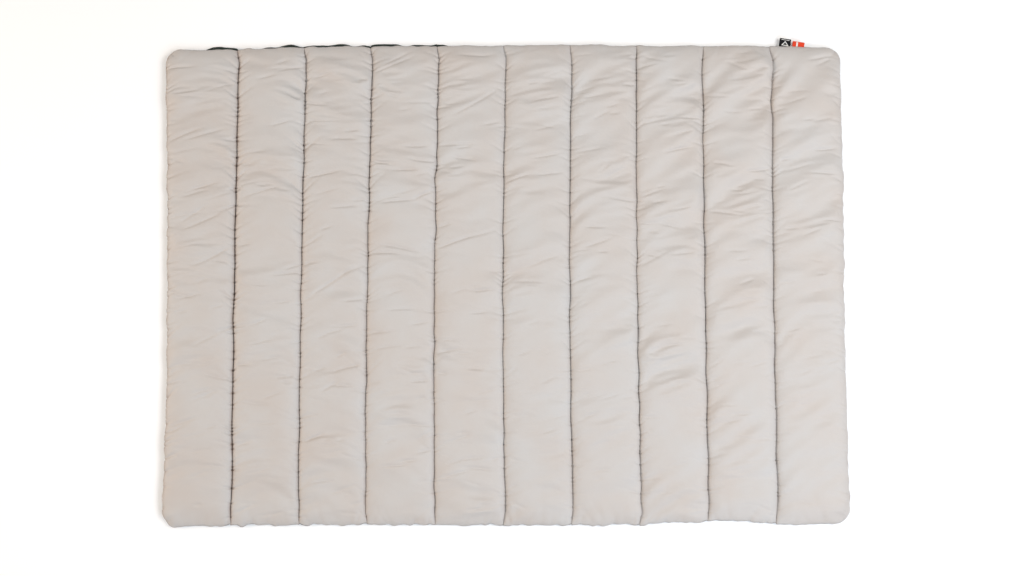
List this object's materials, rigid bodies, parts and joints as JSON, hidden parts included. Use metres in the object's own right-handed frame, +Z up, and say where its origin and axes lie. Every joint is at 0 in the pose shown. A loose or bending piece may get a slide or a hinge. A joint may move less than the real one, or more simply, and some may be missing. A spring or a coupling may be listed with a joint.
{
  "type": "camp quilt",
  "caption": "Rectangular camp quilt of face cloth, back cloth and fibre fill, sewn through into parallel channels that fold at their seams, with a woven label and side tab in one edge.",
  "frame": {"origin": "on the floor under the middle of the whole bounding box, labels included, so the cloth's own middle lies 14.75 mm towards -Y", "axes": "+Z up; +X across the channels, towards the end that carries the labels; +Y along the channels, towards the edge that the labels stand out of"},
  "size_m": [1.98, 1.4294, 0.038],
  "materials": {
    "face_cloth": "smooth warm beige plain-weave polyester with a soft sheen",
    "back_cloth": "very dark green plain-weave polyester, a little duller than the face",
    "fibre_fill": "white hollow-fibre batting",
    "thread": "brown polyester sewing thread",
    "label_black": "matt black woven ribbon with a small plain tent mark and a line in pale yarn",
    "label_red": "matt red woven ribbon with one plain pale band"
  },
  "bodies": {
    "channel_01": {"face_panel_01": "face_cloth", "back_panel_01": "back_cloth", "fill_pad_01": "fibre_fill", "closing_thread_01": "thread", "quilting_thread_01": "thread"},
    "channel_02": {"face_panel_02": "face_cloth", "back_panel_02": "back_cloth", "fill_pad_02": "fibre_fill", "closing_thread_front_02": "thread", "closing_thread_rear_02": "thread", "quilting_thread_02": "thread"},
    "channel_03": {"face_panel_03": "face_cloth", "back_panel_03": "back_cloth", "fill_pad_03": "fibre_fill", "closing_thread_front_03": "thread", "closing_thread_rear_03": "thread", "quilting_thread_03": "thread"},
    "channel_04": {"face_panel_04": "face_cloth", "back_panel_04": "back_cloth", "fill_pad_04": "fibre_fill", "closing_thread_front_04": "thread", "closing_thread_rear_04": "thread", "quilting_thread_04": "thread"},
    "channel_05": {"face_panel_05": "face_cloth", "back_panel_05": "back_cloth", "fill_pad_05": "fibre_fill", "closing_thread_front_05": "thread", "closing_thread_rear_05": "thread", "quilting_thread_05": "thread"},
    "channel_06": {"face_panel_06": "face_cloth", "back_panel_06": "back_cloth", "fill_pad_06": "fibre_fill", "closing_thread_front_06": "thread", "closing_thread_rear_06": "thread", "quilting_thread_06": "thread"},
    "channel_07": {"face_panel_07": "face_cloth", "back_panel_07": "back_cloth", "fill_pad_07": "fibre_fill", "closing_thread_front_07": "thread", "closing_thread_rear_07": "thread", "quilting_thread_07": "thread"},
    "channel_08": {"face_panel_08": "face_cloth", "back_panel_08": "back_cloth", "fill_pad_08": "fibre_fill", "closing_thread_front_08": "thread", "closing_thread_rear_08": "thread", "quilting_thread_08": "thread"},
    "channel_09": {"face_panel_09": "face_cloth", "back_panel_09": "back_cloth", "fill_pad_09": "fibre_fill", "closing_thread_front_09": "thread", "closing_thread_rear_09": "thread", "quilting_thread_09": "thread"},
    "channel_10": {"face_panel_10": "face_cloth", "back_panel_10": "back_cloth", "fill_pad_10": "fibre_fill", "closing_thread_10": "thread"},
    "woven_label": {"woven_label": "label_black"},
    "side_tab": {"side_tab": "label_red"}
  },
  "joints": [
    {"name": "fold_seam_05", "type": "hinge", "parent": "channel_05", "child": "channel_06", "pos_m": [0, -0.01475, 0.012], "axis": [0, -1, 0], "range_deg": [-90, 90]},
    {"name": "fold_seam_06", "type": "hinge", "parent": "channel_06", "child": "channel_07", "pos_m": [0.198, -0.01475, 0.012], "axis": [0, 1, 0], "range_deg": [-90, 90]},
    {"name": "fold_seam_07", "type": "hinge", "parent": "channel_07", "child": "channel_08", "pos_m": [0.396, -0.01475, 0.012], "axis": [0, -1, 0], "range_deg": [-90, 90]},
    {"name": "fold_seam_08", "type": "hinge", "parent": "channel_08", "child": "channel_09", "pos_m": [0.594, -0.01475, 0.012], "axis": [0, 1, 0], "range_deg": [-90, 90]},
    {"name": "fold_seam_09", "type": "hinge", "parent": "channel_09", "child": "channel_10", "pos_m": [0.792, -0.01475, 0.012], "axis": [0, -1, 0], "range_deg": [-90, 90]},
    {"name": "fold_seam_04", "type": "hinge", "parent": "channel_05", "child": "channel_04", "pos_m": [-0.198, -0.01475, 0.012], "axis": [0, 1, 0], "range_deg": [-90, 90]},
    {"name": "fold_seam_03", "type": "hinge", "parent": "channel_04", "child": "channel_03", "pos_m": [-0.396, -0.01475, 0.012], "axis": [0, -1, 0], "range_deg": [-90, 90]},
    {"name": "fold_seam_02", "type": "hinge", "parent": "channel_03", "child": "channel_02", "pos_m": [-0.594, -0.01475, 0.012], "axis": [0, 1, 0], "range_deg": [-90, 90]},
    {"name": "fold_seam_01", "type": "hinge", "parent": "channel_02", "child": "channel_01", "pos_m": [-0.792, -0.01475, 0.012], "axis": [0, -1, 0], "range_deg": [-90, 90]},
    {"name": "woven_label_flap", "type": "hinge", "parent": "channel_10", "child": "woven_label", "pos_m": [0.837, 0.68405, 0.012], "axis": [1, 0, 0], "range_deg": [-90, 90]},
    {"name": "side_tab_flap", "type": "hinge", "parent": "channel_10", "child": "side_tab", "pos_m": [0.87705, 0.68405, 0.012], "axis": [1, 0, 0], "range_deg": [-90, 90]}
  ]
}
